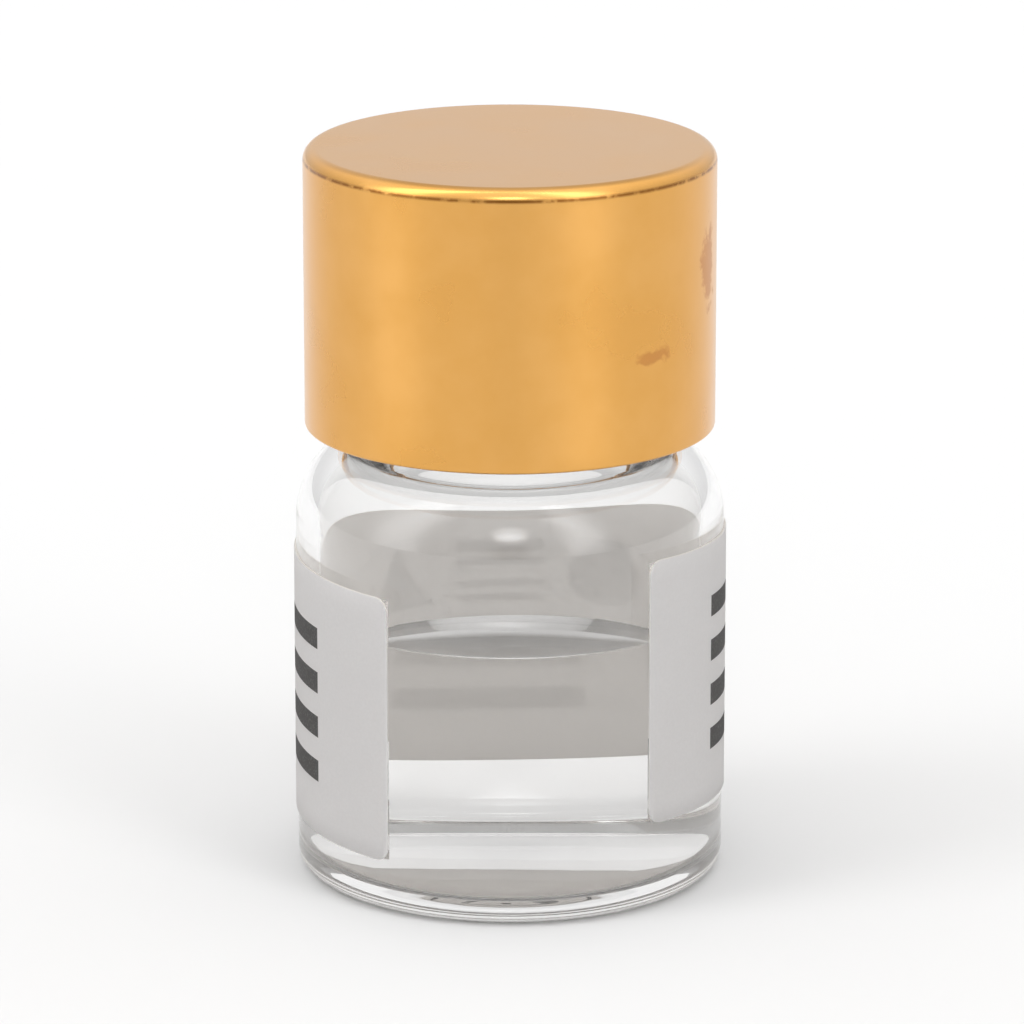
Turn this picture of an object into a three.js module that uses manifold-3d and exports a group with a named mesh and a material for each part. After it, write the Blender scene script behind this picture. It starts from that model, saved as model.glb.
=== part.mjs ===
// A sample vial: a clear glass vial with a threaded neck, the liquid in it, a paper label wrapped
// round it, and a gold aluminium cap with a threaded plastic insert and a two-layer liner.
// Millimetres, +Z up. The origin is the centre of the base, and the label's open gap faces -Y.

import * as THREE from 'three';
import { mergeVertices } from 'three/addons/utils/BufferGeometryUtils.js';
import Module from 'manifold-3d';

const wasm = await Module();
wasm.setup();

// Facets
const SEGMENTS = 48;
const ARC_STEPS = 5;
const MERGE_DISTANCE = 1e-4;
const DEGREE = Math.PI / 180;

// Glass body
const BODY_RADIUS = 11.0;
const BODY_WALL = 1.2;
const HEEL_RADIUS = 1.1;
const BEARING_RADIUS = 7.6;
const PUSH_UP = 0.12;
const FLOOR_THICKNESS = 0.9;
const INNER_HEEL_RADIUS = 1.2;

// Shoulder: a round outside, and an inside that turns back into the bore
const SHOULDER_START = 18.75;
const SHOULDER_RADIUS = 4.4;
const SHOULDER_WALL = 1.3;
const SHOULDER_INNER_SWEEP = 72 * DEGREE;
const NECK_FILLET = 0.8;

// Neck
const LIP_HEIGHT = 35.0;
const LIP_ROUND = 0.5;
const NECK_RADIUS = 8.2;
const THROAT_RADIUS = 2.0;

// Thread: one start, right hand, eight turns to the inch
const THREAD_PITCH = 25.4 / 8;
const THREAD_EMBED = 0.3;
const THREAD_RUNOUT = 30 * DEGREE;
const NECK_THREAD = { crest: 8.9, start: 27.6, turns: 1.75, rootWidth: 1.7, crestWidth: 0.8 };
const CAP_THREAD = { crest: 8.45, start: 25.9, turns: 2.2, rootWidth: 1.6, crestWidth: 0.8 };
const THREAD_SEAT = 0.25;

// Liquid
const LIQUID_GAP = 0.04;
const LIQUID_LEVEL = 13.0;
const MENISCUS_RISE = 1.0;
const MENISCUS_DECAY = 2.7;
const MENISCUS_SPAN = 8.0;

// Label: it runs from its right end round the back to its left end, and climbs to the right
const LABEL_GAP = 0.03;
const LABEL_THICKNESS = 0.1;
const LABEL_HEIGHT = 13.85;
const LABEL_RIGHT_ANGLE = 39.5 * DEGREE;
const LABEL_LEFT_ANGLE = 326 * DEGREE;
const LABEL_RIGHT_BOTTOM = 4.7;
const LABEL_LEFT_BOTTOM = 2.9;
const LABEL_CORNER = 0.7;
const LABEL_STEPS = 48;

// Cap and liner
const CAP_RADIUS = 10.5;
const CAP_BOTTOM = 23.55;
const CAP_TOP = 38.05;
const CAP_EDGE_RADIUS = 0.7;
const SHELL_WALL = 0.35;
const INSERT_GAP = 0.05;
const INSERT_RECESS = 0.4;
const INSERT_BORE = 9.05;
const INSERT_ROOF = 1.0;
const LINER_RADIUS = 8.8;
const LINER_GAP = 0.02;
const FACING_THICKNESS = 0.1;

/** A MeshStandardMaterial from a colour, roughness and metalness. */
function finish(color, roughness, metalness) {
  return new THREE.MeshStandardMaterial({ color, roughness, metalness });
}

/** A named mesh. */
function piece(name, geometry, material) {
  const mesh = new THREE.Mesh(geometry, material);
  mesh.name = name;
  return mesh;
}

/** Points on an arc about (r, z), both ends included, with angles from the +r direction. */
function arc(r, z, radius, from, to, steps = ARC_STEPS) {
  return Array.from({ length: steps + 1 }, (_, i) => {
    const angle = from + ((to - from) * i) / steps;
    return [r + radius * Math.cos(angle), z + radius * Math.sin(angle)];
  });
}

/** A solid turned about the Z axis from an [r, z] profile that starts and ends on the axis. */
function turned(profile) {
  const points = profile.map(([r, z]) => new THREE.Vector2(r, z));
  return new THREE.LatheGeometry(points, SEGMENTS).rotateX(Math.PI / 2);
}

/** A manifold solid from a closed geometry. */
function toSolid(geometry) {
  const bare = geometry.clone();
  bare.deleteAttribute('normal');
  bare.deleteAttribute('uv');
  const merged = mergeVertices(bare, MERGE_DISTANCE);
  const corners = merged.index.array;
  const faces = [];
  for (let i = 0; i < corners.length; i += 3) {
    const [a, b, c] = corners.slice(i, i + 3);
    if (a !== b && b !== c && c !== a) faces.push(a, b, c);
  }
  const vertProperties = Float32Array.from(merged.attributes.position.array);
  const triVerts = Uint32Array.from(faces);
  return new wasm.Manifold(new wasm.Mesh({ numProp: 3, vertProperties, triVerts }));
}

/** A geometry from a manifold solid. */
function toGeometry(solid) {
  const { vertProperties, triVerts } = solid.getMesh();
  const geometry = new THREE.BufferGeometry();
  geometry.setAttribute('position', new THREE.BufferAttribute(vertProperties, 3));
  geometry.setIndex(new THREE.BufferAttribute(triVerts, 1));
  geometry.computeVertexNormals();
  return geometry;
}

/** A closed geometry swept through equal sections. section(i) gives the points of section i, in the
 * same order, anticlockwise as seen against the sweep. */
function swept(count, section) {
  const rings = Array.from({ length: count }, (_, i) => section(i));
  const size = rings[0].length;
  const faces = [];
  for (let i = 0; i < count - 1; i += 1) {
    for (let k = 0; k < size; k += 1) {
      const next = (k + 1) % size;
      const [a, b] = [i * size + k, i * size + next];
      const [c, d] = [a + size, b + size];
      faces.push(a, c, b, b, c, d);
    }
  }
  const last = (count - 1) * size;
  for (let k = 1; k < size - 1; k += 1) {
    faces.push(0, k, k + 1, last, last + k + 1, last + k);
  }
  const geometry = new THREE.BufferGeometry();
  geometry.setAttribute('position', new THREE.Float32BufferAttribute(rings.flat(2), 3));
  geometry.setIndex(faces);
  geometry.computeVertexNormals();
  return geometry;
}

/** One helical thread ridge on a wall, its ends sinking into the wall. The wall is outside the
 * ridge where the crest is the smaller radius. */
function threadRidge(wall, { crest, start, turns, rootWidth, crestWidth }, startAngle) {
  const outward = Math.sign(crest - wall);
  const root = wall - outward * THREAD_EMBED;
  const sunk = wall - (outward * THREAD_EMBED) / 2;
  const sweep = turns * 2 * Math.PI;
  const steps = Math.round(turns * SEGMENTS);
  return swept(steps + 1, (i) => {
    const turn = (sweep * i) / steps;
    const ease = Math.min(1, turn / THREAD_RUNOUT, (sweep - turn) / THREAD_RUNOUT);
    const tip = sunk + (crest - sunk) * ease;
    const height = start + (THREAD_PITCH * turn) / (2 * Math.PI);
    const rim = [
      [root, -rootWidth / 2],
      [tip, -crestWidth / 2],
      [tip, crestWidth / 2],
      [root, rootWidth / 2],
    ];
    if (outward < 0) rim.reverse();
    const angle = startAngle + turn;
    return rim.map(([r, z]) => [r * Math.cos(angle), r * Math.sin(angle), height + z]);
  });
}

/** Where the shoulder's outside meets the fillet under the neck. */
function shoulderFillet() {
  const centreRadius = BODY_RADIUS - SHOULDER_RADIUS;
  const across = NECK_RADIUS + NECK_FILLET - centreRadius;
  const up = Math.sqrt((SHOULDER_RADIUS + NECK_FILLET) ** 2 - across ** 2);
  return { centreRadius, height: SHOULDER_START + up, lean: Math.atan2(up, across) };
}

/** The vial's outside, from the middle of the base up to the top of the lip. */
function vialOutside() {
  const { centreRadius, height, lean } = shoulderFillet();
  return [
    [0, PUSH_UP],
    [BEARING_RADIUS / 2, PUSH_UP * 0.8],
    [BEARING_RADIUS, 0],
    ...arc(BODY_RADIUS - HEEL_RADIUS, HEEL_RADIUS, HEEL_RADIUS, -Math.PI / 2, 0),
    ...arc(centreRadius, SHOULDER_START, SHOULDER_RADIUS, 0, lean, 2 * ARC_STEPS),
    ...arc(NECK_RADIUS + NECK_FILLET, height, NECK_FILLET, Math.PI + lean, Math.PI).slice(1),
    ...arc(NECK_RADIUS - LIP_ROUND, LIP_HEIGHT - LIP_ROUND, LIP_ROUND, 0, Math.PI / 2, 3),
  ];
}

/** The vial's inside, from the inner edge of the lip down to the middle of the floor. */
function vialInside() {
  const inner = BODY_RADIUS - BODY_WALL;
  const centreRadius = BODY_RADIUS - SHOULDER_RADIUS;
  const shoulder = Array.from({ length: ARC_STEPS + 2 }, (_, i) => {
    const share = 1 - i / (ARC_STEPS + 1);
    const angle = SHOULDER_INNER_SWEEP * share;
    const radius = SHOULDER_RADIUS - BODY_WALL - (SHOULDER_WALL - BODY_WALL) * share;
    return [centreRadius + radius * Math.cos(angle), SHOULDER_START + radius * Math.sin(angle)];
  });
  const turn = SHOULDER_INNER_SWEEP;
  const throatCentre = shoulder[0][0] + THROAT_RADIUS * Math.cos(turn);
  const throatHeight = shoulder[0][1] + THROAT_RADIUS * Math.sin(turn);
  const lipCentre = throatCentre - THROAT_RADIUS + LIP_ROUND;
  return [
    ...arc(lipCentre, LIP_HEIGHT - LIP_ROUND, LIP_ROUND, Math.PI / 2, Math.PI, 3),
    ...arc(throatCentre, throatHeight, THROAT_RADIUS, Math.PI, Math.PI + turn).slice(0, -1),
    ...shoulder,
    ...insideBelow(inner, 0),
  ];
}

/** The inside from the top of its lower fillet to the middle of the floor, drawn in by a gap. */
function insideBelow(inner, gap) {
  const radius = INNER_HEEL_RADIUS;
  const floor = FLOOR_THICKNESS;
  return [
    ...arc(inner - radius, floor + radius, radius - gap, 0, -Math.PI / 2),
    [(inner - radius) / 2, floor + PUSH_UP * 0.8 + gap],
    [0, floor + PUSH_UP + gap],
  ];
}

function glassVial() {
  const body = turned([...vialOutside(), ...vialInside()]);
  const thread = threadRidge(NECK_RADIUS, NECK_THREAD, 0);
  return piece('glass_vial', toGeometry(toSolid(body).add(toSolid(thread))), finish(0xe9f0ee, 0.03, 0));
}

/** Height of the liquid's surface above its level, at a distance from the wall. */
function meniscus(distance) {
  return MENISCUS_RISE * Math.exp(-distance / MENISCUS_DECAY);
}

function liquidSample() {
  const inner = BODY_RADIUS - BODY_WALL;
  const wall = inner - LIQUID_GAP;
  const surface = Array.from({ length: ARC_STEPS + 1 }, (_, i) => {
    const distance = MENISCUS_SPAN * (i / ARC_STEPS) ** 1.6;
    return [wall - distance, LIQUID_LEVEL + meniscus(distance)];
  });
  const profile = [...insideBelow(inner, LIQUID_GAP).reverse(), ...surface, [0, LIQUID_LEVEL]];
  return piece('liquid_sample', turned(profile), finish(0xf2f5f3, 0.02, 0));
}

/** The label: a band on the glass whose height follows a slight helix, with trimmed corners. */
function wrapLabel() {
  const inner = BODY_RADIUS + LABEL_GAP;
  const outer = inner + LABEL_THICKNESS;
  const cut = LABEL_CORNER / outer;
  const first = [0, cut * 0.3, cut];
  const span = LABEL_LEFT_ANGLE - LABEL_RIGHT_ANGLE;
  const middle = Array.from({ length: LABEL_STEPS - 1 }, (_, i) => (span * (i + 1)) / LABEL_STEPS);
  const stops = [...first, ...middle, ...first.map((x) => span - x).reverse()];
  const geometry = swept(stops.length, (i) => {
    const along = stops[i];
    const edge = Math.min(along, span - along) / cut;
    const trim = edge < 1 ? LABEL_CORNER * (1 - Math.sqrt(1 - (1 - edge) ** 2)) : 0;
    const climb = (LABEL_LEFT_BOTTOM - LABEL_RIGHT_BOTTOM) * (along / span);
    const low = LABEL_RIGHT_BOTTOM + climb + trim;
    const high = LABEL_RIGHT_BOTTOM + climb + LABEL_HEIGHT - trim;
    const angle = LABEL_RIGHT_ANGLE + along - Math.PI / 2;
    return [
      [inner, low],
      [outer, low],
      [outer, high],
      [inner, high],
    ].map(([r, z]) => [r * Math.cos(angle), r * Math.sin(angle), z]);
  });
  return piece('wrap_label', geometry, finish(0xdfdddb, 0.7, 0));
}

function capShell() {
  const inner = CAP_RADIUS - SHELL_WALL;
  const innerTop = CAP_TOP - SHELL_WALL;
  const corner = CAP_RADIUS - CAP_EDGE_RADIUS;
  const cornerHeight = CAP_TOP - CAP_EDGE_RADIUS;
  const rim = SHELL_WALL / 2;
  return piece(
    'cap_shell',
    turned([
      [0, innerTop],
      ...arc(corner, cornerHeight, CAP_EDGE_RADIUS - SHELL_WALL, Math.PI / 2, 0, 3),
      ...arc(inner + rim, CAP_BOTTOM + rim, rim, Math.PI, 2 * Math.PI, 3),
      ...arc(corner, cornerHeight, CAP_EDGE_RADIUS, 0, Math.PI / 2),
      [0, CAP_TOP],
    ]),
    finish(0xe6b25c, 0.3, 1),
  );
}

function threadInsert() {
  const outer = CAP_RADIUS - SHELL_WALL - INSERT_GAP;
  const bottom = CAP_BOTTOM + INSERT_RECESS;
  const top = CAP_TOP - SHELL_WALL - INSERT_GAP;
  const bevel = CAP_EDGE_RADIUS - SHELL_WALL;
  const body = turned([
    [0, top - INSERT_ROOF],
    [INSERT_BORE, top - INSERT_ROOF],
    [INSERT_BORE, bottom + 0.3],
    [INSERT_BORE + 0.3, bottom],
    [outer, bottom],
    [outer, top - bevel],
    [outer - bevel, top],
    [0, top],
  ]);
  const rise = CAP_THREAD.start - NECK_THREAD.start - THREAD_PITCH / 2 - THREAD_SEAT;
  const startAngle = (rise / THREAD_PITCH) * 2 * Math.PI;
  const solid = toSolid(body).add(toSolid(threadRidge(INSERT_BORE, CAP_THREAD, startAngle)));
  return piece('thread_insert', toGeometry(solid), finish(0xf4f3ef, 0.5, 0));
}

/** A flat disc between two heights. */
function disc(bottom, top) {
  return turned([
    [0, bottom],
    [LINER_RADIUS, bottom],
    [LINER_RADIUS, top],
    [0, top],
  ]);
}

function liner() {
  const facingBottom = LIP_HEIGHT + LINER_GAP;
  const facingTop = facingBottom + FACING_THICKNESS;
  const padBottom = facingTop + LINER_GAP;
  const padTop = CAP_TOP - SHELL_WALL - INSERT_GAP - INSERT_ROOF - LINER_GAP;
  return [
    piece('liner_facing', disc(facingBottom, facingTop), finish(0xf7f7f5, 0.2, 0)),
    piece('liner_pad', disc(padBottom, padTop), finish(0xefeeea, 0.85, 0)),
  ];
}

const vial = new THREE.Group();
vial.add(glassVial(), liquidSample(), wrapLabel(), capShell(), threadInsert(), ...liner());

export default vial;
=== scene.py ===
"""Looks for the sample vial: clear glass, liquid, wrapped label, gold cap, threaded insert and liner."""

import math

import bmesh
import bpy
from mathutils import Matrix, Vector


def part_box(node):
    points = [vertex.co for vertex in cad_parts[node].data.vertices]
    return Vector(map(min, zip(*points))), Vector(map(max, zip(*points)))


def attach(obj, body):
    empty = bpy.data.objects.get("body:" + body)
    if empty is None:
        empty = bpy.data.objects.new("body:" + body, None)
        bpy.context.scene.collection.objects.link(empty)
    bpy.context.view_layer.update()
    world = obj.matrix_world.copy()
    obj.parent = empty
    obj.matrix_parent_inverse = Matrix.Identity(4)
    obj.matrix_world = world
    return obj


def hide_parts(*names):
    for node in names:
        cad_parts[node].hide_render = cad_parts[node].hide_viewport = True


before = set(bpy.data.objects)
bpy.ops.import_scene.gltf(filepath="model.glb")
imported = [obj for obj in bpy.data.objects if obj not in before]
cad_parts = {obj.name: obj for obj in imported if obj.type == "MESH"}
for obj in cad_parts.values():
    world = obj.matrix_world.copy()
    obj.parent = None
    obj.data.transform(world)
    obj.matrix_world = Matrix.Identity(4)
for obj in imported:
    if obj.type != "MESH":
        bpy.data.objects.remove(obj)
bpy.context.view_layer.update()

# Lengths are in millimetres, and MM turns them into Blender's metres.
MM = 0.001
TAU = 2 * math.pi


def node_size(node):
    """(lowest corner, highest corner) of a CAD node, in millimetres."""
    low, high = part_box(node)
    return low / MM, high / MM


_, VIAL_HIGH = node_size("glass_vial")
SHELL_LOW, SHELL_HIGH = node_size("cap_shell")
INSERT_LOW, INSERT_HIGH = node_size("thread_insert")
PAD_LOW, PAD_HIGH = node_size("liner_pad")
FACING_LOW, FACING_HIGH = node_size("liner_facing")

# Turning
TURN_SEGMENTS = 192
ARC_STEPS = 14
SMALL_ARC_STEPS = 6
LIP_STEPS = 8
WALL_STEPS = 120
MENISCUS_STEPS = 40
LINER_STEPS = 40
SHARP_ANGLE = math.radians(50)
# How near to a surface a point has to be to count as on it
HAIR = 0.01
TRACE = 1e-6

# Glass
BODY_RADIUS = VIAL_HIGH.x
LIP_HEIGHT = VIAL_HIGH.z
BODY_WALL = 1.2
HEEL_RADIUS = 1.1
BEARING_RADIUS = 7.6
PUSH_UP = 0.12
FLOOR_THICKNESS = 0.9
INNER_HEEL_RADIUS = 1.2
SHOULDER_START = 18.75
SHOULDER_RADIUS = 4.4
SHOULDER_WALL = 1.3
SHOULDER_INNER_SWEEP = math.radians(72)
NECK_FILLET = 0.8
NECK_RADIUS = 8.2
LIP_ROUND = 0.5
THROAT_RADIUS = 2.0
DRY_STEPS = 12
WET_STEPS = 24
GLASS_IOR = 1.51
GLASS_TINT = (0.96, 0.958, 0.955)
LIQUID_IOR = 1.333

# Thread
THREAD_PITCH = 25.4 / 8
THREAD_RUNOUT = math.radians(30)
THREAD_STEP = 0.12
NECK_THREAD = {"crest": 8.9, "start": 27.6, "turns": 1.75, "root": 1.7, "flat": 0.8}
CAP_THREAD = {"crest": 8.45, "start": 25.9, "turns": 2.2, "root": 1.6, "flat": 0.8}
THREAD_SEAT = 0.25

# Liquid
LIQUID_LEVEL = 13.0
CAPILLARY_LENGTH = 2.7
CONTACT_ANGLE = math.radians(68)
LIQUID_GAP = 0.01
LIQUID_SIDE_STEPS = 12
MENISCUS_CORE = 0.3

# Label: its two ends are at angles from the front, positive to +X, and its right end is the higher
LABEL_HEIGHT = 13.85
LABEL_RIGHT_ANGLE = math.radians(39.5)
LABEL_LEFT_ANGLE = math.radians(326)
LABEL_RIGHT_BOTTOM = 4.7
LABEL_LEFT_BOTTOM = 2.9
LABEL_CORNER = 0.7
LABEL_GAP = 0.012
LABEL_PROUD = 0.115
LABEL_BEVEL = 0.03
LABEL_ROWS = 14
LABEL_STEPS = 260
CORNER_STEPS = 10
PASTE_MARGIN = 0.12
PAPER_THROUGH = 0.65
FACE_COLOR = (0.85, 0.845, 0.855)
# The label's back is warmer and paler than its face, and the extra paleness is painted light that brightens
# the dim inside of the vial
PAINTED_LIGHT_BACK_COLOR = (0.985, 0.955, 0.91)
EDGE_COLOR = (0.88, 0.87, 0.86)

# Printed marks
MARK_SPACING = 6.6
MARK_REACH = 2.6
MARK_RISE = 4.1
BAR_SPACING = 2.36
BAR_SHARE = 0.48
LAST_MARK = 3
INK_COLOR = (0.07, 0.067, 0.065)
INK_STRENGTH = 0.93
PALE_MARK = 0.2

# Cap
SHELL_WALL = 0.35
CAP_EDGE_RADIUS = 0.7
CAP_TOP_STEPS = 16
SHELL_INNER_STEPS = 8
SHELL_OUTER_STEPS = 24
ROOF_STEPS = 6
INSERT_SIDE_STEPS = 12
INSERT_BORE = 9.05
INSERT_ROOF = 1.0
INSERT_ROUND = 0.3
INSERT_EDGE = 0.2
INSERT_BEVEL = 0.65
PAD_ROUND = 0.2
FILM_BEVEL = 0.03
INSERT_COLOR = (0.93, 0.92, 0.9)
FOAM_COLOR = (0.84, 0.83, 0.8)
FILM_COLOR = (0.88, 0.88, 0.87)

# Gold, the painted dark reflection under its rim, and its stains
GOLD_COLORS = ((0.735, 0.375, 0.09), (0.775, 0.41, 0.113))
STAIN_COLOR = (0.52, 0.2, 0.05)
# The rim's dark line is a painted reflection of the darker front: its colour, its drop below the rim's
# bend, its half widths and its strength
PAINTED_REFLECTION_COLOR = (0.2, 0.06, 0.002)
PAINTED_REFLECTION_DROP = 0.1
PAINTED_REFLECTION_HALF_WIDTHS = (0.02, 0.14)
PAINTED_REFLECTION_STRENGTH = 0.85
STAIN_STRENGTH = 0.55
STAIN_HAZE = 0.15
STAIN_EDGE = (1.15, 0.75)
RAGGEDNESS = 2.6
RIM_POLISH = 0.06
GOLD_ROUGHNESS = (0.26, 0.34)
SIDE_ANISOTROPY = 0.6
# Each stain: its angle in degrees and its height, then half its width in radians and half its height
SMEAR = ((72, 32.6), (0.09, 1.9))
SMUDGE = ((43, 28.9), (0.1, 0.4))

# Light
HORIZON_LIGHT = 0.7
ZENITH_LIGHT = 1.4
# Brighter upright panels: azimuth in degrees, 0 in front and positive to +X, half width and gain
PANELS = ((-67, 14, 2.8), (44, 11, 2.8))
PANEL_SOFTNESS = 6
# Round patches: -1 in front or 1 behind, then elevation, radius and softness in degrees, and gain
PATCHES = ((-1, 33, 7, 4, 5.0), (-1, 9, 10, 4, 0.1), (1, 50, 24, 10, 0.6))
FLOOR_HALF_WIDTH = 3000
FLOOR_COLOR = (0.7, 0.7, 0.7)

# Camera
CAMERA_LENS = 222.9
CAMERA_SENSOR = 36
CAMERA_SHIFT = (0.002, 0.0085)
CAMERA_AIM = 18.3
CAMERA_DISTANCE = 326.0
CAMERA_ELEVATION = math.radians(15.64)
CAMERA_NEAR = 10
CAMERA_FAR = 20000


def arc(r, z, radius, start, end, steps=ARC_STEPS):
    """Points on an arc about (r, z), both ends included, with angles from the +r direction."""
    angles = [start + (end - start) * i / steps for i in range(steps + 1)]
    return [(r + radius * math.cos(a), z + radius * math.sin(a)) for a in angles]


def line(start, end, steps):
    """Evenly spaced points between two ends, neither end included."""
    return [
        tuple(a + (b - a) * i / steps for a, b in zip(start, end))
        for i in range(1, steps)
    ]


def make_object(name, verts, faces, slots=None):
    """A smooth-shaded mesh object from points in millimetres, with its sharp edges kept."""
    mesh = bpy.data.meshes.new(name)
    mesh.from_pydata([tuple(c * MM for c in v) for v in verts], [], faces)
    if slots:
        mesh.polygons.foreach_set("material_index", slots)
    mesh.shade_smooth()
    built = bmesh.new()
    built.from_mesh(mesh)
    for edge in built.edges:
        if len(edge.link_faces) == 2 and edge.calc_face_angle() > SHARP_ANGLE:
            edge.smooth = False
    built.to_mesh(mesh)
    built.free()
    obj = bpy.data.objects.new(name, mesh)
    bpy.context.scene.collection.objects.link(obj)
    return obj


def turned(name, profile, slot_of=None, reshape=None):
    """A closed solid turned about Z from an (r, z) profile that starts and ends on the axis.

    slot_of(r, z) gives the material slot of the band at a place on the profile, and
    reshape(angle, r, z) gives the radius there.
    """
    verts = [(0, 0, profile[0][1])]
    for r, z in profile[1:-1]:
        for k in range(TURN_SEGMENTS):
            angle = TAU * k / TURN_SEGMENTS
            radius = reshape(angle, r, z) if reshape else r
            verts.append((radius * math.cos(angle), radius * math.sin(angle), z))
    verts.append((0, 0, profile[-1][1]))
    last = len(verts) - 1
    rings = len(profile) - 2
    faces = []
    slots = []

    def band_slot(i):
        (r0, z0), (r1, z1) = profile[i], profile[i + 1]
        return slot_of((r0 + r1) / 2, (z0 + z1) / 2) if slot_of else 0

    for k in range(TURN_SEGMENTS):
        after = (k + 1) % TURN_SEGMENTS
        faces.append((0, 1 + after, 1 + k))
        slots.append(band_slot(0))
        for i in range(rings - 1):
            low = 1 + i * TURN_SEGMENTS
            high = low + TURN_SEGMENTS
            faces.append((low + k, low + after, high + after, high + k))
            slots.append(band_slot(i + 1))
        top = 1 + (rings - 1) * TURN_SEGMENTS
        faces.append((top + k, top + after, last))
        slots.append(band_slot(rings))
    return make_object(name, verts, faces, slots)


def thread_height(angle, z, thread, start_angle=0.0):
    """How far out of its wall a helical ridge stands, as a share of its depth."""
    turn_at = ((angle - start_angle) / TAU) % 1.0
    best = 0.0
    whole = 0
    while turn_at + whole <= thread["turns"]:
        turn = turn_at + whole
        centre = thread["start"] + THREAD_PITCH * turn
        off = abs(z - centre)
        flat, root = thread["flat"] / 2, thread["root"] / 2
        share = min(max((root - off) / (root - flat), 0.0), 1.0)
        ends = min(turn, thread["turns"] - turn) * TAU / THREAD_RUNOUT
        ease = min(max(ends, 0.0), 1.0)
        best = max(best, share * share * (3 - 2 * share) * ease * ease * (3 - 2 * ease))
        whole += 1
    return best


# ---------------------------------------------------------------- glass and liquid


def shoulder_fillet():
    """The shoulder arc's centre radius, and the height and lean of the fillet above it."""
    centre = BODY_RADIUS - SHOULDER_RADIUS
    across = NECK_RADIUS + NECK_FILLET - centre
    up = math.sqrt((SHOULDER_RADIUS + NECK_FILLET) ** 2 - across**2)
    return centre, SHOULDER_START + up, math.atan2(up, across)


def vial_outside():
    """The outside of the glass, from the middle of the base to the lip."""
    centre, height, lean = shoulder_fillet()
    heel = arc(BODY_RADIUS - HEEL_RADIUS, HEEL_RADIUS, HEEL_RADIUS, -TAU / 4, 0)
    push_up = [
        (BEARING_RADIUS * s, PUSH_UP * math.cos(s * TAU / 4) ** 2)
        for s in (i / ARC_STEPS for i in range(ARC_STEPS + 1))
    ]
    shoulder = arc(centre, SHOULDER_START, SHOULDER_RADIUS, 0, lean, 2 * ARC_STEPS)
    fillet = arc(NECK_RADIUS + NECK_FILLET, height, NECK_FILLET, TAU / 2 + lean, TAU / 2)
    lip_start = LIP_HEIGHT - LIP_ROUND
    neck_steps = int((lip_start - height) / THREAD_STEP)
    neck = line((NECK_RADIUS, height), (NECK_RADIUS, lip_start), neck_steps)
    lip = arc(NECK_RADIUS - LIP_ROUND, lip_start, LIP_ROUND, 0, TAU / 4, LIP_STEPS)
    wall = line((BODY_RADIUS, HEEL_RADIUS), (BODY_RADIUS, SHOULDER_START), WALL_STEPS)
    return push_up + heel + wall + shoulder + fillet[1:] + neck + lip


def inner_floor(gap=0.0):
    """The inside from the top of its lower fillet to the middle of the floor, drawn in by a gap."""
    radius = INNER_HEEL_RADIUS
    flat = BODY_RADIUS - BODY_WALL - radius
    bowl = [
        (flat * s, FLOOR_THICKNESS + PUSH_UP * math.cos(s * TAU / 4) ** 2 + gap)
        for s in (1 - i / ARC_STEPS for i in range(1, ARC_STEPS + 1))
    ]
    return arc(flat, FLOOR_THICKNESS + radius, radius - gap, 0, -TAU / 4) + bowl


def shoulder_inside():
    """The inside of the shoulder, whose wall thickens towards the neck, from the top down."""
    centre = BODY_RADIUS - SHOULDER_RADIUS
    points = []
    for i in range(2 * ARC_STEPS + 1):
        share = 1 - i / (2 * ARC_STEPS)
        angle = SHOULDER_INNER_SWEEP * share
        radius = SHOULDER_RADIUS - BODY_WALL - (SHOULDER_WALL - BODY_WALL) * share
        x, z = radius * math.cos(angle), radius * math.sin(angle)
        points.append((centre + x, SHOULDER_START + z))
    return points


def vial_inside():
    """The inside of the glass, from the lip down to the middle of the floor."""
    inner = BODY_RADIUS - BODY_WALL
    shoulder = shoulder_inside()
    turn = SHOULDER_INNER_SWEEP
    centre = shoulder[0][0] + THROAT_RADIUS * math.cos(turn)
    height = shoulder[0][1] + THROAT_RADIUS * math.sin(turn)
    bore = centre - THROAT_RADIUS
    lip = arc(bore + LIP_ROUND, LIP_HEIGHT - LIP_ROUND, LIP_ROUND, TAU / 4, TAU / 2, LIP_STEPS)
    throat_arc = arc(centre, height, THROAT_RADIUS, TAU / 2, TAU / 2 + turn)[:-1]
    contact = meniscus()[0][1]
    dry = line((inner, SHOULDER_START), (inner, contact), DRY_STEPS)
    wet = [(inner, contact)] + line((inner, contact), inner_floor()[0], WET_STEPS)
    return lip + throat_arc + shoulder + dry + wet + inner_floor()


def meniscus():
    """The liquid's surface from the wall inwards: the curve that surface tension gives at a wall."""
    inner = BODY_RADIUS - BODY_WALL
    steepest = TAU / 4 - CONTACT_ANGLE
    points = []
    for i in range(MENISCUS_STEPS):
        slope = steepest * (1 - i / MENISCUS_STEPS) ** 1.5
        away = math.log(math.tan(steepest / 4) / math.tan(slope / 4))
        away += 2 * math.cos(steepest / 2) - 2 * math.cos(slope / 2)
        distance = CAPILLARY_LENGTH * away
        if distance < inner - MENISCUS_CORE:
            rise = 2 * CAPILLARY_LENGTH * math.sin(slope / 2)
            points.append((inner - distance, LIQUID_LEVEL + rise))
    return points


def under_label(x, y, z):
    """Whether a place on the outer wall is under the label, where the paste lets light straight out."""
    angle = math.atan2(x, -y) % TAU - LABEL_RIGHT_ANGLE
    turn = LABEL_LEFT_ANGLE - LABEL_RIGHT_ANGLE
    low = LABEL_RIGHT_BOTTOM + (LABEL_LEFT_BOTTOM - LABEL_RIGHT_BOTTOM) * angle / turn
    inside = PASTE_MARGIN < angle * BODY_RADIUS < turn * BODY_RADIUS - PASTE_MARGIN
    return inside and low + PASTE_MARGIN < z < low + LABEL_HEIGHT - PASTE_MARGIN


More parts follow.
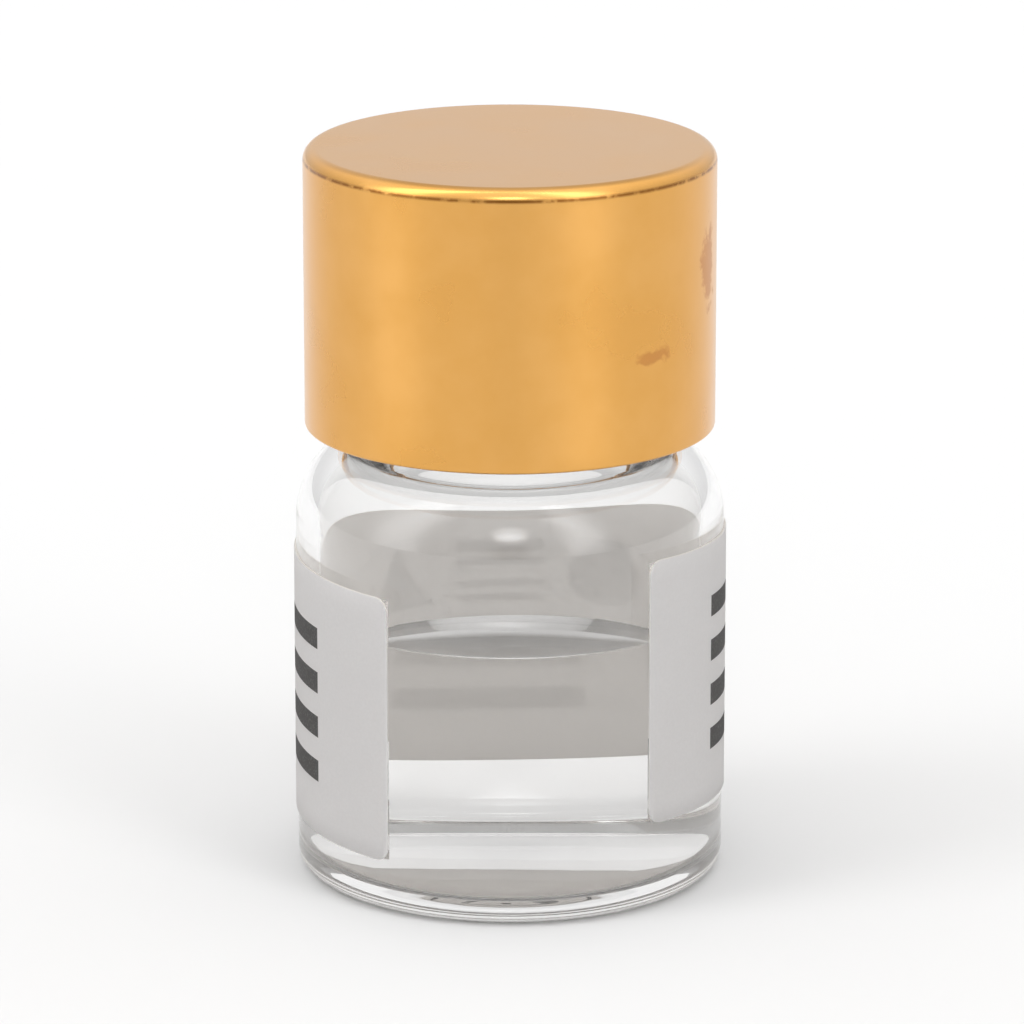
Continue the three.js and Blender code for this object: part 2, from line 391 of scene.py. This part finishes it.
def build_glass():
    """The glass: clear in air, with slots of their own for what the liquid wets and the label covers."""
    contact = meniscus()[0][1]
    inner = BODY_RADIUS - BODY_WALL

    def slot_of(r, z):
        inside = r < inner + HAIR and FLOOR_THICKNESS - HAIR < z < contact
        return 1 if inside else 0

    def reshape(angle, r, z):
        if abs(r - NECK_RADIUS) > HAIR:
            return r
        depth = NECK_THREAD["crest"] - NECK_RADIUS
        return r + depth * thread_height(angle, z, NECK_THREAD)

    profile = vial_outside() + vial_inside() + [(0, FLOOR_THICKNESS + PUSH_UP)]
    vial = turned("vial_glass", profile, slot_of, reshape)
    vial.data.materials.append(glass_material("vial_clear_glass", GLASS_IOR))
    vial.data.materials.append(glass_material("vial_wet_glass", GLASS_IOR / LIQUID_IOR))
    vial.data.materials.append(glass_material("vial_pasted_glass", 1.0))
    for face in vial.data.polygons:
        x, y, z = face.center / MM
        if math.hypot(x, y) > BODY_RADIUS - 2 * HAIR and under_label(x, y, z):
            face.material_index = 2
    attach(vial, "vial")
    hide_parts("glass_vial")


def build_liquid():
    """The liquid, a hair clear of the glass. Its side doesn't bend light, as the wet glass does that."""
    edge = BODY_RADIUS - BODY_WALL - LIQUID_GAP
    surface = [(r - LIQUID_GAP, z) for r, z in meniscus()]
    floor = list(reversed(inner_floor(LIQUID_GAP)))
    side = line(floor[-1], surface[0], LIQUID_SIDE_STEPS)
    lowest = surface[-1][1]
    profile = floor + side + surface + [(0, lowest)]

    def slot_of(r, z):
        return 0 if z > lowest - TRACE and r < edge - TRACE else 1

    liquid = turned("liquid", profile, slot_of)
    liquid.data.materials.append(liquid_material("liquid_surface", LIQUID_IOR))
    liquid.data.materials.append(liquid_material("liquid_side", 1.0))
    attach(liquid, "vial")
    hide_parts("liquid_sample")


# ---------------------------------------------------------------- materials


def principled(name, color, roughness, **sockets):
    """A new material, its node tree and its Principled shader, with plain socket values set."""
    material = bpy.data.materials.new(name)
    material.use_nodes = True
    shader = material.node_tree.nodes["Principled BSDF"]
    shader.inputs["Base Color"].default_value = (*color, 1)
    shader.inputs["Roughness"].default_value = roughness
    for key, value in sockets.items():
        shader.inputs[key.replace("_", " ")].default_value = value
    return material, material.node_tree, shader


def add(tree, kind, **values):
    """A new node with properties and input values set, and inputs linked where given an output."""
    node = tree.nodes.new(kind)
    for key, value in values.items():
        if hasattr(node, key) and key != "inputs":
            setattr(node, key, value)
        else:
            fill(tree, node.inputs[key.replace("_", " ")], value)
    return node


def fill(tree, socket, value):
    """Links a socket to an output, or gives it a value."""
    if isinstance(value, bpy.types.NodeSocket):
        tree.links.new(value, socket)
    else:
        socket.default_value = value


def calc(tree, operation, *values, clamp=False):
    """A maths node's output."""
    node = tree.nodes.new("ShaderNodeMath")
    node.operation = operation
    node.use_clamp = clamp
    for socket, value in zip(node.inputs, values):
        fill(tree, socket, value)
    return node.outputs[0]


def length(tree, x, y):
    """The length of a flat vector."""
    return calc(tree, "SQRT", calc(tree, "ADD", calc(tree, "POWER", x, 2.0), calc(tree, "POWER", y, 2.0)))


def place(tree):
    """The place on the piece, in millimetres."""
    coords = tree.nodes.new("ShaderNodeTexCoord")
    scale = tree.nodes.new("ShaderNodeVectorMath")
    scale.operation = "SCALE"
    tree.links.new(coords.outputs["Object"], scale.inputs[0])
    scale.inputs["Scale"].default_value = 1 / MM
    return scale.outputs[0]


def noise(tree, where, scale, detail=3.0, roughness=0.5, stretch=(1, 1, 1)):
    """A noise value from 0 to 1 with features about 1 / scale millimetres across."""
    mapping = add(tree, "ShaderNodeMapping", Vector=where)
    mapping.inputs["Scale"].default_value = stretch
    node = add(tree, "ShaderNodeTexNoise", Scale=scale, Detail=detail, Roughness=roughness)
    tree.links.new(mapping.outputs[0], node.inputs["Vector"])
    return node.outputs["Fac"]


def span(tree, value, low, high, out_low=0.0, out_high=1.0):
    """value's range from low to high mapped to another range, with its ends held."""
    node = tree.nodes.new("ShaderNodeMapRange")
    for socket, item in zip(node.inputs, (value, low, high, out_low, out_high)):
        fill(tree, socket, item)
    return node.outputs[0]


def mix(tree, factor, first, second):
    """A colour mixed from two."""
    node = tree.nodes.new("ShaderNodeMix")
    node.data_type = "RGBA"
    fill(tree, node.inputs[0], factor)
    for socket, item in zip((node.inputs[6], node.inputs[7]), (first, second)):
        fill(tree, socket, (*item, 1) if isinstance(item, tuple) else item)
    return node.outputs[2]


def bump(tree, shader, height, strength, distance):
    """A bump from a height, with a distance in millimetres."""
    node = add(tree, "ShaderNodeBump", Strength=strength, Distance=distance * MM, Height=height)
    tree.links.new(node.outputs[0], shader.inputs["Normal"])


def glass_material(name, ior):
    """Clear glass with the faint draw lines of tube glass."""
    material, tree, shader = principled(name, GLASS_TINT, roughness=0.0, Transmission_Weight=1.0, IOR=ior)
    lines = noise(tree, place(tree), scale=0.35, detail=2.0, stretch=(1, 1, 0.12))
    bump(tree, shader, lines, strength=0.03, distance=0.05)
    return material


def liquid_material(name, ior):
    """Clear liquid, the same all through."""
    white = (1.0, 1.0, 1.0)
    return principled(name, white, roughness=0.0, Transmission_Weight=1.0, IOR=ior)[0]


def cylinder_place(tree):
    """The angle round the axis in radians, 0 at the front and positive to +X, and the height in mm."""
    split = add(tree, "ShaderNodeSeparateXYZ", Vector=place(tree))
    x, y, z = split.outputs
    back = calc(tree, "MULTIPLY", y, -1.0)
    return calc(tree, "ARCTAN2", x, back), z


def spot(tree, angle, height, at, size, ragged):
    """A soft-edged blot on the cylinder: 1 in its middle and 0 outside, with a ragged outline."""
    across = calc(tree, "DIVIDE", calc(tree, "SUBTRACT", angle, math.radians(at[0])), size[0])
    up = calc(tree, "DIVIDE", calc(tree, "SUBTRACT", height, at[1]), size[1])
    far = length(tree, across, up)
    torn = calc(tree, "MULTIPLY", calc(tree, "SUBTRACT", ragged, 0.5), RAGGEDNESS)
    return span(tree, calc(tree, "ADD", far, torn), *STAIN_EDGE)


def gold_material():
    """Satin gold anodised aluminium with fine grain, a painted dark reflection along the rim and a few
    handling stains.
    """
    material, tree, shader = principled("cap_gold", GOLD_COLORS[0], roughness=0.3, Metallic=1.0,
                                        Coat_Weight=0.25, Coat_Roughness=0.12, Anisotropic_Rotation=0.25)
    where = place(tree)
    angle, height = cylinder_place(tree)
    cloud = noise(tree, where, scale=0.25, detail=4.0)
    grain = noise(tree, where, scale=9.0, detail=2.0)
    ragged = noise(tree, where, scale=1.1, detail=4.0, roughness=0.6)
    base = mix(tree, span(tree, cloud, 0.35, 0.65), *GOLD_COLORS)
    smear = spot(tree, angle, height, *SMEAR, ragged)
    smudge = spot(tree, angle, height, *SMUDGE, ragged)
    stain = calc(tree, "MAXIMUM", smear, smudge)
    tinted = mix(tree, calc(tree, "MULTIPLY", stain, STAIN_STRENGTH), base, STAIN_COLOR)
    # Painted dark reflection: a thin dark line just below the rim's bend, broken up by noise
    below = calc(tree, "SUBTRACT", SHELL_HIGH.z - CAP_EDGE_RADIUS + PAINTED_REFLECTION_DROP, height)
    painted_reflection = span(tree, calc(tree, "ABSOLUTE", below), *PAINTED_REFLECTION_HALF_WIDTHS, 1.0, 0.0)
    dots = noise(tree, where, scale=1.2, detail=5.0, roughness=0.7)
    painted_reflection = calc(tree, "MULTIPLY", painted_reflection, span(tree, dots, 0.4, 0.52, 0.3, 1.0))
    tinted = mix(tree, calc(tree, "MULTIPLY", painted_reflection, PAINTED_REFLECTION_STRENGTH), tinted, PAINTED_REFLECTION_COLOR)
    tree.links.new(tinted, shader.inputs["Base Color"])
    rim = span(tree, below, 0.0, -0.2)
    tree.links.new(span(tree, below, 0.0, 0.4, 0.0, SIDE_ANISOTROPY), shader.inputs["Anisotropic"])
    rough = span(tree, cloud, 0.3, 0.7, *GOLD_ROUGHNESS)
    rough = calc(tree, "SUBTRACT", rough, calc(tree, "MULTIPLY", rim, RIM_POLISH))
    rough = calc(tree, "ADD", rough, calc(tree, "MULTIPLY", stain, STAIN_HAZE))
    tree.links.new(rough, shader.inputs["Roughness"])
    bump(tree, shader, grain, strength=0.12, distance=0.01)
    around = add(tree, "ShaderNodeTangent", direction_type="RADIAL", axis="Z")
    tree.links.new(around.outputs[0], shader.inputs["Tangent"])
    return material


def paper_material(name, tint, printed=False):
    """Label paper with fine fibres that lets some light through, printed with plain marks or bare."""
    material, tree, shader = principled(name, tint, roughness=0.55, Specular_IOR_Level=0.35)
    where = place(tree)
    fibre = noise(tree, where, scale=6.0, detail=6.0, roughness=0.65)
    cloud = noise(tree, where, scale=0.6)
    dark = tuple(c * 0.955 for c in tint)
    paper = mix(tree, span(tree, fibre, 0.3, 0.7), dark, tint)
    paper = mix(tree, span(tree, cloud, 0.3, 0.7, 0.0, 0.3), paper, dark)
    if printed:
        ink = calc(tree, "MULTIPLY", marks(tree), INK_STRENGTH)
        worn = span(tree, noise(tree, where, scale=9.0, detail=4.0), 0.2, 0.5, 0.85, 1.0)
        ink = calc(tree, "MULTIPLY", ink, worn)
        paper = mix(tree, ink, paper, INK_COLOR)
    tree.links.new(paper, shader.inputs["Base Color"])
    tree.links.new(span(tree, fibre, 0.2, 0.8, 0.48, 0.62), shader.inputs["Roughness"])
    bump(tree, shader, fibre, strength=0.2, distance=0.01)
    through = add(tree, "ShaderNodeBsdfTranslucent", Color=paper)
    both = add(tree, "ShaderNodeMixShader")
    both.inputs[0].default_value = PAPER_THROUGH
    tree.links.new(shader.outputs[0], both.inputs[1])
    tree.links.new(through.outputs[0], both.inputs[2])
    tree.links.new(both.outputs[0], tree.nodes["Material Output"].inputs["Surface"])
    return material


def bars(tree, side, up):
    """Even bars in a cell, from the distances to either side of its middle and up from it."""
    bar = calc(tree, "DIVIDE", calc(tree, "ADD", up, MARK_RISE), BAR_SPACING)
    stripes = calc(tree, "LESS_THAN", calc(tree, "FRACT", bar), BAR_SHARE)
    beside = calc(tree, "LESS_THAN", side, MARK_REACH)
    level = calc(tree, "LESS_THAN", calc(tree, "ABSOLUTE", up), MARK_RISE)
    return calc(tree, "MULTIPLY", stripes, calc(tree, "MULTIPLY", beside, level))


def triangle(tree, side, up):
    """An upright triangle in a cell."""
    reach = calc(tree, "DIVIDE", calc(tree, "SUBTRACT", MARK_RISE, up), 2 * MARK_RISE / MARK_REACH)
    above = calc(tree, "GREATER_THAN", up, -MARK_RISE)
    return calc(tree, "MULTIPLY", calc(tree, "LESS_THAN", side, reach), above)


def disc(tree, side, up):
    """An upright oval in a cell."""
    across = calc(tree, "DIVIDE", side, MARK_REACH)
    along = calc(tree, "DIVIDE", up, MARK_RISE)
    return calc(tree, "LESS_THAN", length(tree, across, along), 1.0)


def marks(tree):
    """A row of plain marks round the label: bars, triangles and discs in turn, pale between the ends."""
    coords = add(tree, "ShaderNodeUVMap", uv_map="label")
    split = add(tree, "ShaderNodeSeparateXYZ", Vector=coords.outputs[0])
    along, up, _ = split.outputs
    cell = calc(tree, "ROUND", calc(tree, "DIVIDE", along, MARK_SPACING))
    side = calc(tree, "SUBTRACT", along, calc(tree, "MULTIPLY", cell, MARK_SPACING))
    side = calc(tree, "ABSOLUTE", side)
    shapes = (bars, triangle, disc)
    kind = calc(tree, "WRAP", cell, float(len(shapes)), 0.0)
    ink = 0.0
    for number, shape in enumerate(shapes):
        chosen = calc(tree, "COMPARE", kind, float(number), 0.1)
        printed = calc(tree, "MULTIPLY", shape(tree, side, up), chosen)
        ink = calc(tree, "ADD", ink, printed, clamp=True)
    away = calc(tree, "ABSOLUTE", cell)
    end = calc(tree, "GREATER_THAN", away, LAST_MARK - 0.5)
    strength = span(tree, end, 0.0, 1.0, PALE_MARK, 1.0)
    ink = calc(tree, "MULTIPLY", ink, calc(tree, "LESS_THAN", away, LAST_MARK + 0.5))
    return calc(tree, "MULTIPLY", ink, strength)


def plastic_material(name, color, roughness, grain_scale, grain_depth):
    """Soft plastic or foam with a fine grain and slight clouds of a paler tint."""
    material, tree, shader = principled(name, color, roughness, Subsurface_Weight=0.15)
    shader.inputs["Subsurface Radius"].default_value = (0.0012, 0.0011, 0.001)
    where = place(tree)
    grain = noise(tree, where, scale=grain_scale)
    cloud = noise(tree, where, scale=0.5)
    pale = tuple(min(1.0, c * 1.03) for c in color)
    tint = mix(tree, span(tree, cloud, 0.3, 0.7), color, pale)
    tree.links.new(tint, shader.inputs["Base Color"])
    tree.links.new(span(tree, grain, 0.2, 0.8, roughness - 0.06, roughness + 0.06),
                   shader.inputs["Roughness"])
    bump(tree, shader, grain, strength=0.3, distance=grain_depth)
    return material


# ---------------------------------------------------------------- label


def label_stops(turn, corner):
    """Angles along the label from its right end, set closer together round its corners."""
    ends = [corner * (1 - math.cos(TAU / 4 * i / CORNER_STEPS)) for i in range(CORNER_STEPS)]
    middle = [corner + (turn - 2 * corner) * i / LABEL_STEPS for i in range(LABEL_STEPS + 1)]
    return ends + middle + [turn - e for e in reversed(ends)]


def label_section(half):
    """The label's (r, z) outline at one angle: up its face, over its top edge and down its back."""
    inner = BODY_RADIUS + LABEL_GAP
    outer = BODY_RADIUS + LABEL_PROUD
    bevel = LABEL_BEVEL
    face = [(outer - bevel, -half), (outer, -half + bevel)]
    face += line(face[-1], (outer, half - bevel), LABEL_ROWS)
    face += [(outer, half - bevel), (outer - bevel, half)]
    back = [(inner, half)] + line((inner, half), (inner, -half), LABEL_ROWS) + [(inner, -half)]
    return face + back


def label_mesh():
    """The label's mesh, in slots for its face, back and edges, with a flat (along, up) map in mm."""
    outer = BODY_RADIUS + LABEL_PROUD
    turn = LABEL_LEFT_ANGLE - LABEL_RIGHT_ANGLE
    corner = LABEL_CORNER / outer
    stops = label_stops(turn, corner)
    verts = []
    flat = []
    for along in stops:
        edge = min(along, turn - along) / corner
        trim = LABEL_CORNER * (1 - math.sqrt(max(0.0, 1 - (1 - edge) ** 2))) if edge < 1 else 0
        climb = (LABEL_LEFT_BOTTOM - LABEL_RIGHT_BOTTOM) * along / turn
        middle_z = LABEL_RIGHT_BOTTOM + climb + LABEL_HEIGHT / 2
        angle = LABEL_RIGHT_ANGLE + along - TAU / 4
        section = label_section(LABEL_HEIGHT / 2 - trim)
        for r, z in section:
            verts.append((r * math.cos(angle), r * math.sin(angle), middle_z + z))
            flat.append(((along - turn / 2) * outer, z))
    size = len(section)
    face_end = LABEL_ROWS + 1
    faces = []
    slots = []
    for i in range(len(stops) - 1):
        low = i * size
        high = low + size
        for k in range(size):
            after = (k + 1) % size
            faces.append((low + k, high + k, high + after, low + after))
            on_face = 1 <= k < face_end
            on_back = face_end < k < size - 1
            slots.append(0 if on_face else 1 if on_back else 2)
    faces.append(tuple(range(size)))
    faces.append(tuple(range(len(verts) - 1, len(verts) - size - 1, -1)))
    slots += [2, 2]
    label = make_object("paper_label", verts, faces, slots)
    layer = label.data.uv_layers.new(name="label")
    for loop in label.data.loops:
        layer.data[loop.index].uv = flat[loop.vertex_index]
    return label


def build_label():
    """The label: a thin band pressed on the glass, with rounded corners and a slight climb."""
    label = label_mesh()
    label.data.materials.append(paper_material("label_face", FACE_COLOR, printed=True))
    # The back gets the paler paper: painted light for the inside of the vial
    label.data.materials.append(paper_material("label_back_painted_light", PAINTED_LIGHT_BACK_COLOR))
    label.data.materials.append(paper_material("label_edge", EDGE_COLOR))
    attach(label, "vial")
    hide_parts("wrap_label")


# ---------------------------------------------------------------- cap and liner


def build_shell():
    """The drawn metal cap, open below, with a rolled rim."""
    radius, top, bottom = SHELL_HIGH.x, SHELL_HIGH.z, SHELL_LOW.z
    inner = radius - SHELL_WALL
    corner = radius - CAP_EDGE_RADIUS
    corner_z = top - CAP_EDGE_RADIUS
    rim = SHELL_WALL / 2
    profile = [(0, top - SHELL_WALL)]
    profile += line(profile[0], (corner, top - SHELL_WALL), ROOF_STEPS)
    profile += arc(corner, corner_z, CAP_EDGE_RADIUS - SHELL_WALL, TAU / 4, 0)
    profile += line(profile[-1], (inner, bottom + rim), SHELL_INNER_STEPS)
    profile += arc(inner + rim, bottom + rim, rim, TAU / 2, TAU)
    profile += line(profile[-1], (radius, corner_z), SHELL_OUTER_STEPS)
    profile += arc(corner, corner_z, CAP_EDGE_RADIUS, 0, TAU / 4, 2 * ARC_STEPS)
    profile += line(profile[-1], (0, top), CAP_TOP_STEPS)
    profile += [(0, top)]
    shell = turned("gold_cap_shell", profile)
    shell.data.materials.append(gold_material())
    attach(shell, "cap")
    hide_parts("cap_shell")


def build_insert():
    """The threaded sleeve and its roof, turned so that its thread meets the neck's."""
    outer, top, bottom = INSERT_HIGH.x, INSERT_HIGH.z, INSERT_LOW.z
    bore, roof, small = INSERT_BORE, INSERT_ROOF, INSERT_ROUND
    rise = CAP_THREAD["start"] - NECK_THREAD["start"] - THREAD_PITCH / 2 - THREAD_SEAT
    start_angle = rise / THREAD_PITCH * TAU

    def reshape(angle, r, z):
        if abs(r - bore) > HAIR:
            return r
        depth = bore - CAP_THREAD["crest"]
        return r - depth * thread_height(angle, z, CAP_THREAD, start_angle)

    bevel = INSERT_BEVEL
    edge = INSERT_EDGE
    profile = [(0, top - roof)]
    profile += line(profile[0], (bore - small, top - roof), ROOF_STEPS)
    profile += arc(bore - small, top - roof - small, small, TAU / 4, 0, SMALL_ARC_STEPS)
    steps = int((top - roof - bottom - 2 * small - edge) / THREAD_STEP)
    profile += line((bore, top - roof - small), (bore, bottom + small), steps)
    profile += arc(bore + small, bottom + small, small, TAU / 2, 0.75 * TAU, SMALL_ARC_STEPS)
    profile += arc(outer - edge, bottom + edge, edge, -TAU / 4, 0, SMALL_ARC_STEPS)
    profile += line(profile[-1], (outer, top - bevel), INSERT_SIDE_STEPS)
    profile += arc(outer - bevel, top - bevel, bevel, 0, TAU / 4, LIP_STEPS)
    profile += [(0, top)]
    insert = turned("white_thread_insert", profile, reshape=reshape)
    plastic = plastic_material("insert_plastic", INSERT_COLOR, roughness=0.38,
                               grain_scale=5.0, grain_depth=0.01)
    insert.data.materials.append(plastic)
    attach(insert, "cap")
    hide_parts("thread_insert")


def build_pad():
    """The foam disc that presses on the lip."""
    radius, top, bottom = PAD_HIGH.x, PAD_HIGH.z, PAD_LOW.z
    profile = [(0, bottom)]
    profile += line(profile[0], (radius - PAD_ROUND, bottom), LINER_STEPS)
    profile += arc(radius - PAD_ROUND, bottom + PAD_ROUND, PAD_ROUND, -TAU / 4, 0, SMALL_ARC_STEPS)
    profile += arc(radius - PAD_ROUND, top - PAD_ROUND, PAD_ROUND, 0, TAU / 4, SMALL_ARC_STEPS)
    profile += [(0, top)]
    pad = turned("foam_pad", profile)
    foam = plastic_material("liner_foam", FOAM_COLOR, roughness=0.8, grain_scale=7.0, grain_depth=0.03)
    pad.data.materials.append(foam)
    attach(pad, "liner")
    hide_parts("liner_pad")


def build_film():
    """The thin film on the foam's underside."""
    radius, top, bottom = PAD_HIGH.x, FACING_HIGH.z, FACING_LOW.z
    bevel = FILM_BEVEL
    profile = [(0, bottom)]
    profile += line(profile[0], (radius, bottom), LINER_STEPS)
    profile += [(radius - bevel, bottom), (radius, bottom + bevel)]
    profile += [(radius, top - bevel), (radius - bevel, top), (0, top)]
    film = turned("liner_film", profile)
    plastic = plastic_material("liner_film", FILM_COLOR, roughness=0.22, grain_scale=2.0, grain_depth=0.01)
    film.data.materials.append(plastic)
    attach(film, "liner")
    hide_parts("liner_facing")


# ---------------------------------------------------------------- stage


def build_world(scene):
    """A pale studio, brighter overhead, with bright upright panels and round patches of light and shade."""
    world = bpy.data.worlds.new("studio")
    scene.world = world
    world.use_nodes = True
    tree = world.node_tree
    coords = tree.nodes.new("ShaderNodeTexCoord")
    split = add(tree, "ShaderNodeSeparateXYZ", Vector=coords.outputs["Generated"])
    x, y, z = split.outputs
    sky = span(tree, z, 0.0, 1.0, HORIZON_LIGHT, ZENITH_LIGHT)
    azimuth = calc(tree, "ARCTAN2", x, calc(tree, "MULTIPLY", y, -1.0))
    for centre, half_width, gain in PANELS:
        off = calc(tree, "ABSOLUTE", calc(tree, "SUBTRACT", azimuth, math.radians(centre)))
        panel = span(tree, off, math.radians(half_width + PANEL_SOFTNESS),
                     math.radians(half_width - PANEL_SOFTNESS))
        sky = calc(tree, "MULTIPLY", sky, span(tree, panel, 0.0, 1.0, 1.0, gain))
    for facing, height, radius, softness, gain in PATCHES:
        lean = math.radians(height)
        towards = calc(tree, "ADD", calc(tree, "MULTIPLY", y, facing * math.cos(lean)),
                       calc(tree, "MULTIPLY", z, math.sin(lean)))
        patch = span(tree, towards, math.cos(math.radians(radius + softness)),
                     math.cos(math.radians(radius - softness)))
        sky = calc(tree, "MULTIPLY", sky, span(tree, patch, 0.0, 1.0, 1.0, gain))
    tree.links.new(sky, tree.nodes["Background"].inputs["Strength"])
    tree.nodes["Background"].inputs["Color"].default_value = (1, 1, 1, 1)


def build_floor():
    """The plain pale floor."""
    half = FLOOR_HALF_WIDTH
    verts = [(-half, -half, 0), (half, -half, 0), (half, half, 0), (-half, half, 0)]
    floor = make_object("floor", verts, [(0, 1, 2, 3)])
    floor.data.materials.append(principled("pale_floor", FLOOR_COLOR, roughness=0.9)[0])


def build_camera(scene):
    """The camera in front, a little above the vial."""
    camera = bpy.data.cameras.new("camera")
    camera.lens = CAMERA_LENS
    camera.sensor_width = CAMERA_SENSOR
    camera.shift_x, camera.shift_y = CAMERA_SHIFT
    camera.clip_start = CAMERA_NEAR * MM
    camera.clip_end = CAMERA_FAR * MM
    view = bpy.data.objects.new("camera", camera)
    back = CAMERA_DISTANCE * math.cos(CAMERA_ELEVATION)
    up = CAMERA_AIM + CAMERA_DISTANCE * math.sin(CAMERA_ELEVATION)
    view.location = (0, -back * MM, up * MM)
    view.rotation_euler = (TAU / 4 - CAMERA_ELEVATION, 0, 0)
    scene.collection.objects.link(view)
    scene.camera = view


def build_stage(scene):
    """The light, floor and camera, with enough bounces for light that crosses the glass and the liquid."""
    scene.view_settings.view_transform = "Standard"
    scene.cycles.max_bounces = 32
    scene.cycles.diffuse_bounces = 12
    scene.cycles.glossy_bounces = 16
    scene.cycles.transmission_bounces = 32
    build_world(scene)
    build_floor()
    build_camera(scene)


build_glass()
build_liquid()
build_label()
build_shell()
build_insert()
build_pad()
build_film()
build_stage(bpy.context.scene)

bpy.context.view_layer.update()
